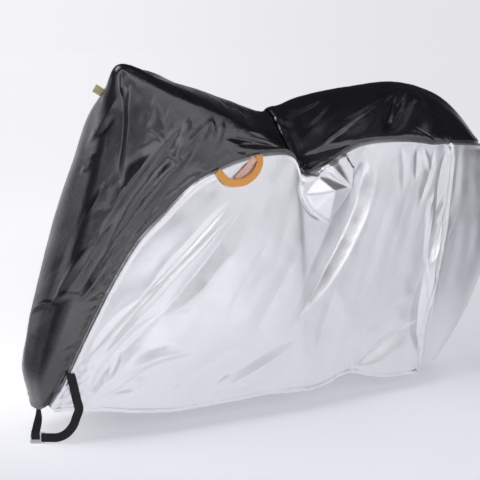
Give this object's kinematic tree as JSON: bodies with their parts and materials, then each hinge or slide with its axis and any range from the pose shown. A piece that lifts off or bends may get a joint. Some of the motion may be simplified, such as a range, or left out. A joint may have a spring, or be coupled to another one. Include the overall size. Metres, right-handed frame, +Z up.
{
  "type": "bicycle cover",
  "caption": "Fitted cloth cover in its hanging shape, hollow for a bicycle: black front and top, silver sides and back, hem straps with a buckle, a side loop and a front tab.",
  "frame": {"origin": "the point under the top that the saddle carries, 1.03 m above the floor", "axes": "+X towards the back of the cover, along its length; +Z up; -Y is the near side, with the loop and the strap"},
  "size_m": [1.7586, 0.448, 1.1001],
  "materials": {
    "black_cloth": "satin",
    "silver_cloth": "satin",
    "black_webbing": "matte",
    "orange_webbing": "matte",
    "yellow_webbing": "matte",
    "clear_plastic": "gloss"
  },
  "bodies": {
    "root": {"front_top_panel": "black_cloth", "rear_top_panel": "black_cloth", "back_panel": "silver_cloth", "near_side_panel": "silver_cloth", "far_side_panel": "silver_cloth", "near_strap": "black_webbing", "front_strap": "black_webbing", "buckle": "clear_plastic", "side_loop": "orange_webbing", "side_loop_lining": "orange_webbing", "front_tab": "yellow_webbing"}
  },
  "joints": []
}
